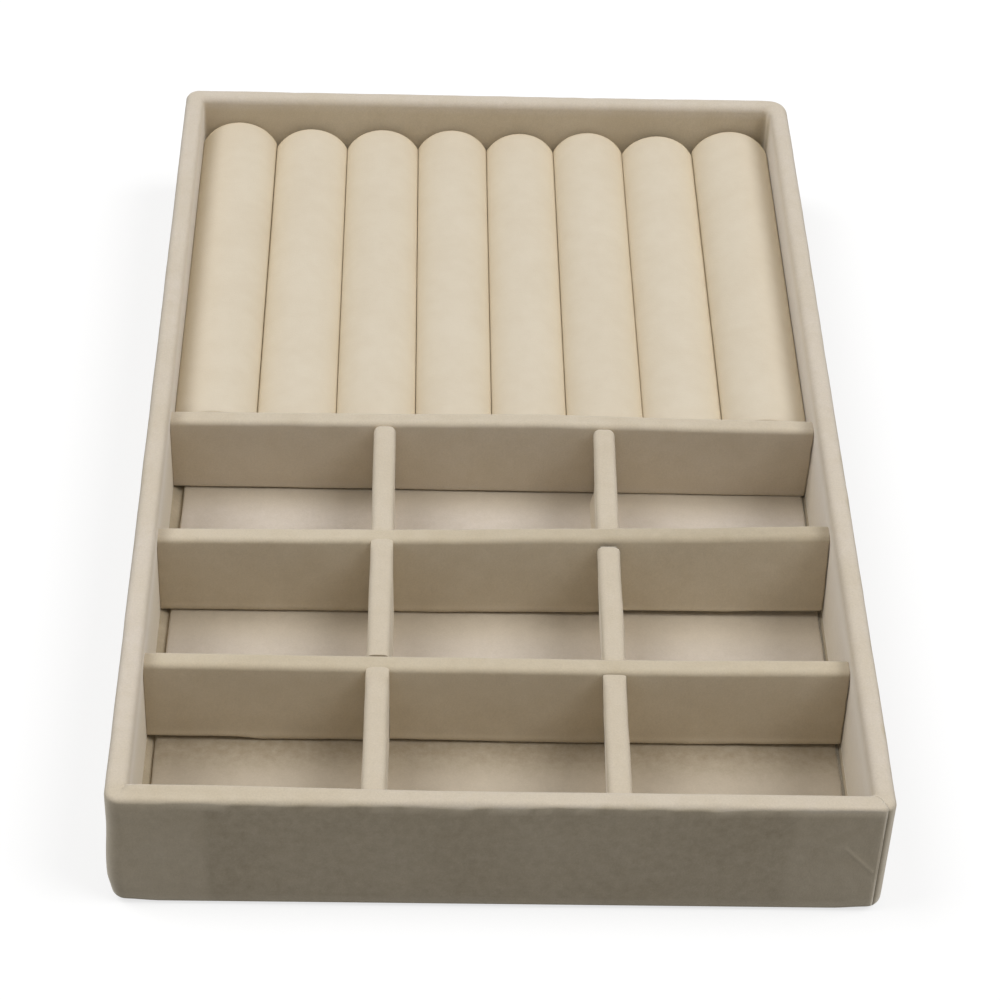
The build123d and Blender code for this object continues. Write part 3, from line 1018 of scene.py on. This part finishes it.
def cover_and_board(
    name, size, slots, mouths, from_above, place, seed, lip, painted_light,
    loose=(), foot_round=0, hem_rise=((0, 0),),
):
    """One divider: its cover and the board inside, both set at the same place. Its painted light
    is the nap of the faces and a table of that of the top, pressed for painted shade and
    stroked up for painted highlight."""
    length, thickness, bottom, top = size
    hem = bottom if from_above else bottom - HEM_DROP
    cover = divider_cover(f"{name}_velvet", length, thickness, hem, top, slots, from_above, foot_round)
    dress_board(cover, place, thickness, hem, top, mouths, seed, lip, loose, hem_rise)

    def pile_and_painted_light(point, normal):
        # Tops and faces take different naps: painted light and shade for how the lamps fall on them
        on_top = ramp(normal.z + 0.25 * wobble(point, 4, seed + 5), 0.25, 0.75)
        face = painted_light[0] + 0.08 * wobble(point, 15, seed + 6)
        if not from_above:
            # A painted highlight on the turned lip just above a cross divider's rounded foot
            face -= 0.2 * bell(point.z - hem - foot_round - 0.5, 1.5)
        return face + (at(painted_light[1], point.x) - face) * on_top

    paint_nap_and_light(cover, pile_and_painted_light)
    finish(cover, wrap_velvet, "velvet", f"{name}_cover")
    crisp_edges(cover)
    # The board is a little smaller than the inside of its cover. Behind the slots that are
    # cut from above it is cut away further
    inner_length, inner_thickness = length - 2 * CLOTH - 0.4, thickness - 2 * CLOTH - 0.1
    low, high = bottom + 0.3, top - CLOTH - 0.1
    spare = 4 if from_above else 0
    sawn = [(x + spare / 2, width + spare) for x, width in slots]
    board = divider_board(
        f"{name}_card", inner_length, inner_thickness, low, high, sawn, from_above, place
    )
    finish(board, grey_board, "divider_board", f"{name}_board")
    crisp_edges(board)


# How round each cross divider's foot is, how much higher its hem is along the tray's width,
# # and the painted shade and highlight on its faces and along its top, drawn as how its pile lies
CROSS_FEET = {1: 0.6, 2: 1.2, 3: 1.2}
HEM_RISE = {
    1: ((-80, 0.0), (-30, 0.0), (30, -0.1), (60, -0.3)),
    2: ((-80, -0.25), (-30, -0.25), (0, -0.1), (24, 0.1), (33, 0.8), (60, 0.7), (80, 1.2)),
    3: (
        *((-80, 0.35), (-62, 0.3), (-57, -0.3), (-32, -0.15), (-22, 0.15)),
        *((0, -0.22), (22, -0.3), (35, -0.1), (50, -0.22), (80, 0.25)),
    ),
}
CROSS_PAINTED_LIGHT = {
    1: (-0.22, ((0, -0.16),)),
    2: (0.14, ((-60, -0.1), (0, 0.12), (60, 0.3))),
    3: (0.14, ((0, 0.05),)),
}

for number in CROSS_Y:
    cross_slots = []
    if number > 1:
        cross_slots = [
            (LONG_X[side] + crossing(side, number)[0], LONG_THICKNESS + 2 * SLOT_GAP)
            for side in LONG_X
        ]
    cover_and_board(
        f"cross_divider_{number}",
        (CROSS_LENGTH, CROSS_THICKNESS, CROSS_BOTTOM, CROSS_TOP),
        cross_slots, (), False, stand_cross(number),
        seed=10 * number,
        lip=0.25 if number == 3 else 0.12,
        painted_light=CROSS_PAINTED_LIGHT[number],
        foot_round=CROSS_FEET[number],
        hem_rise=HEM_RISE[number],
    )

# How round the cloth is at the front and the back mouth of each slot, and how far it comes
# up in front
MOUTHS = {
    ("left", 2): (0.3, 0.35, 0.35),
    ("left", 3): (0.3, 0, 0.5),
    ("right", 2): (1.6, 0.3, 0),
    ("right", 3): (0.6, 0.3, 0.3),
}
# Where a long divider's hem stands off: from, to, side, how far, how high
LOOSE_HEMS = {
    "left": ((-90, -50, -1, 0.4, 20), (-90, -50, 1, 0.2, 20)),
    "right": ((-43, -4, 1, 1.4, 3.6),),
}
for side in LONG_X:
    long_slots, mouths = [], []
    for number in (2, 3):
        spare = LOOSE_SLOT if side == "left" and number == 3 else 0
        slot = (
            CROSS_Y[number] + crossing(side, number)[1] + spare / 2 - LONG_MIDDLE,
            CROSS_THICKNESS + 2 * SLOT_GAP + spare,
        )
        long_slots.append(slot)
        mouths.append((*slot, *MOUTHS[side, number]))
    cover_and_board(
        f"long_divider_{side}",
        (LONG_BACK - LONG_FRONT, LONG_THICKNESS, FLOOR_TOP, LONG_TOP),
        long_slots, mouths, True, stand_long(side),
        seed=50 if side == "left" else 60,
        lip=0.1,
        # Their tops are stroked up: a painted highlight
        painted_light=(0.02, ((0, -0.2),)),
        loose=[
            (low - LONG_MIDDLE, high - LONG_MIDDLE, *rest) for low, high, *rest in LOOSE_HEMS[side]
        ],
    )


# The ring rolls

ROLL_SIDES = 56
ROLL_BEVEL, ROLL_CELL = 2.2, 3.4
# How far the cloth simulation may move a point
ROLL_SWELL, CLOTH_FRAMES = 0.3, 20
# How far the velvet then bulges, with waves and ripples, and more towards its neighbours
ROLL_BULGE, ROLL_WAVES, ROLL_RIPPLES, SIDE_SWELL = 0.28, 0.07, 0.02, 1.2
ROLL_GAP = 0.1
FRONT_FLAT, OVER_DIVIDER = 0.45, 0.8


def swell_roll(roll):
    """Lets the foam push the velvet out: a closed cloth under a little pressure, held back
    by a cap on how far any point may move."""
    before = [vertex.co.copy() for vertex in roll.data.vertices]
    cloth = roll.modifiers.new("cloth", "CLOTH")
    cloth.settings.quality = 5
    cloth.settings.use_pressure = True
    cloth.settings.uniform_pressure_force = 4
    cloth.settings.effector_weights.gravity = 0
    for frame_number in range(1, CLOTH_FRAMES + 1):
        bpy.context.scene.frame_set(frame_number)
    bpy.ops.object.modifier_apply(modifier=cloth.name)
    bpy.context.scene.frame_set(1)
    for vertex, old in zip(roll.data.vertices, before):
        move = vertex.co - old
        if move.length > ROLL_SWELL * MM:
            vertex.co = old + move.normalized() * ROLL_SWELL * MM
    modify(roll, "SUBSURF", levels=1)


def ring_roll(number, middle, width, back, taller):
    """A foam roll in velvet: cloth turned in at the ends, pressed against its neighbours."""
    radius = width / 2
    length = back - ROLL_FRONT
    deselect_all()
    bpy.ops.mesh.primitive_cylinder_add(
        vertices=ROLL_SIDES,
        radius=radius * MM,
        depth=length * MM,
        end_fill_type="TRIFAN",
        location=(middle * MM, (back + ROLL_FRONT) / 2 * MM, (ROLL_SEAT + radius) * MM),
        rotation=(math.pi / 2, 0, 0),
    )
    roll = start(f"ring_roll_{number}_velvet")
    bpy.ops.object.transform_apply()
    set_mode("EDIT")
    ends = (ROLL_FRONT * MM, back * MM)
    centre = Vector((middle, ROLL_SEAT + radius)) * MM

    def on_rim(a, b):
        same_end = abs(a.y - b.y) < 1e-6
        apart = min((Vector((p.x, p.z)) - centre).length for p in (a, b))
        return same_end and apart > 0.9 * radius * MM

    select(roll, "EDGE", on_rim)
    bevel = ROLL_BEVEL * MM
    bpy.ops.mesh.bevel(offset=bevel, segments=4)
    cut_across(1, spread_cuts(ends[0] + bevel, ends[1] - bevel, ROLL_CELL * MM, []))
    set_mode("OBJECT")
    swell_roll(roll)
    for vertex in roll.data.vertices:
        x, y, z = vertex.co / MM
        across, rise = x - middle, z - ROLL_SEAT - radius
        away = math.hypot(across, rise)
        if away > 0.2 * radius:
            along = (y - ROLL_FRONT) / length
            spot = (x, y, z)
            swell = ROLL_BULGE + ROLL_WAVES * wobble(spot, 40, number)
            swell += ROLL_RIPPLES * wobble(spot, 12, number + 9)
            # Towards its neighbours the soft foam spreads until the cloths meet
            swell += SIDE_SWELL * (across / away) ** 2
            swell *= ramp(away, 0.5 * radius, radius) * ramp(min(along, 1 - along), -0.02, 0.04)
            across *= 1 + swell / radius
            rise *= 1 + swell / radius
        # The front ends bulge a little over the leaning divider
        from_end = y - ROLL_FRONT
        if from_end < 12:
            y = ROLL_FRONT + from_end * (FRONT_FLAT if from_end < ROLL_BEVEL else 1)
            y -= OVER_DIVIDER * ramp(z, 12, 24) * (1 - ramp(from_end, 2, 12))
        limit = radius - 0.02
        across = min(max(across, -limit), limit)
        rise = max(rise, -radius) * (1 + taller / (2 * radius)) + taller / 2
        vertex.co = Vector((middle + across, y, ROLL_SEAT + radius + rise)) * MM
    finish(roll, roll_velvet, "roll_velvet", f"ring_roll_cover_{number}")
    return roll


for number in range(1, 9):
    left_side, right_side = ROLL_BOUNDS[number - 1 : number + 1]
    ring_roll(
        number,
        (left_side + right_side) / 2,
        right_side - left_side - ROLL_GAP,
        ROLL_BACKS[number - 1],
        ROLL_RISES[number - 1],
    )


# Floor, backdrop and light

# Two large soft lamps stand above, to the left and to the right, each as its direction and
# its strength. The room adds a little from all round
LAMPS = {"softbox_left": ((-0.6, 0.1, 1), 1.2), "softbox_right": ((0.7, -0.1, 1), 1.4)}
LAMP_SPREAD = 34
ROOM_STRENGTH = 0.32
STUDIO_SIZE = 12
FLOOR_TO_LIGHT, FLOOR_TO_EYE = "#7C7C7C", "#9C9C9C"
FLOOR_GLOW = 0.71


def seen_white(add):
    """1 for what the eye sees, straight or in a gloss, and 0 for light on its way."""
    path = add("ShaderNodeLightPath")
    seen = add(
        "ShaderNodeMath", {0: (path, "Is Camera Ray"), 1: (path, "Is Glossy Ray")}, operation="MAXIMUM"
    )
    return add(
        "ShaderNodeMath", {0: (seen, "Value"), 1: (path, "Is Transmission Ray")}, operation="MAXIMUM"
    )


def studio_floor():
    """Matt white paper to the eye, with the tray's shadow on it, and grey to the light."""
    material, add = new_material("paper_matt_white")
    seen = seen_white(add)
    tone = add(
        "ShaderNodeMix",
        {"Factor": (seen, "Value"), "A": colour(FLOOR_TO_LIGHT), "B": colour(FLOOR_TO_EYE)},
        data_type="RGBA",
    )
    paper = add("ShaderNodeBsdfDiffuse", {"Color": (tone, "Result")})
    glow = add("ShaderNodeEmission", {"Strength": FLOOR_GLOW})
    lift = add("ShaderNodeAddShader", {0: (paper, "BSDF"), 1: (glow, "Emission")})
    surface = add(
        "ShaderNodeMixShader", {"Fac": (seen, "Value"), 1: (paper, "BSDF"), 2: (lift, "Shader")}
    )
    add("ShaderNodeOutputMaterial", {"Surface": (surface, "Shader")})
    return material


deselect_all()
bpy.ops.mesh.primitive_plane_add(size=STUDIO_SIZE)
studio = start("studio_floor")
studio.data.materials.append(studio_floor())

world = bpy.data.worlds.new("studio")
bpy.context.scene.world = world
add = empty_tree(world)
seen = seen_white(add)
strength = add(
    "ShaderNodeMapRange", {"Value": (seen, "Value"), "To Min": ROOM_STRENGTH, "To Max": 1.0}
)
sky = add("ShaderNodeBackground", {"Color": colour("#FFFFFF"), "Strength": (strength, "Result")})
add("ShaderNodeOutputWorld", {"Surface": (sky, "Background")})

for name, (direction, strength) in LAMPS.items():
    lamp = bpy.data.lights.new(name, "SUN")
    lamp.energy = strength
    lamp.angle = math.radians(LAMP_SPREAD)
    softbox = bpy.data.objects.new(name, lamp)
    softbox.rotation_euler = (-Vector(direction)).to_track_quat("-Z", "Y").to_euler()
    bpy.context.collection.objects.link(softbox)
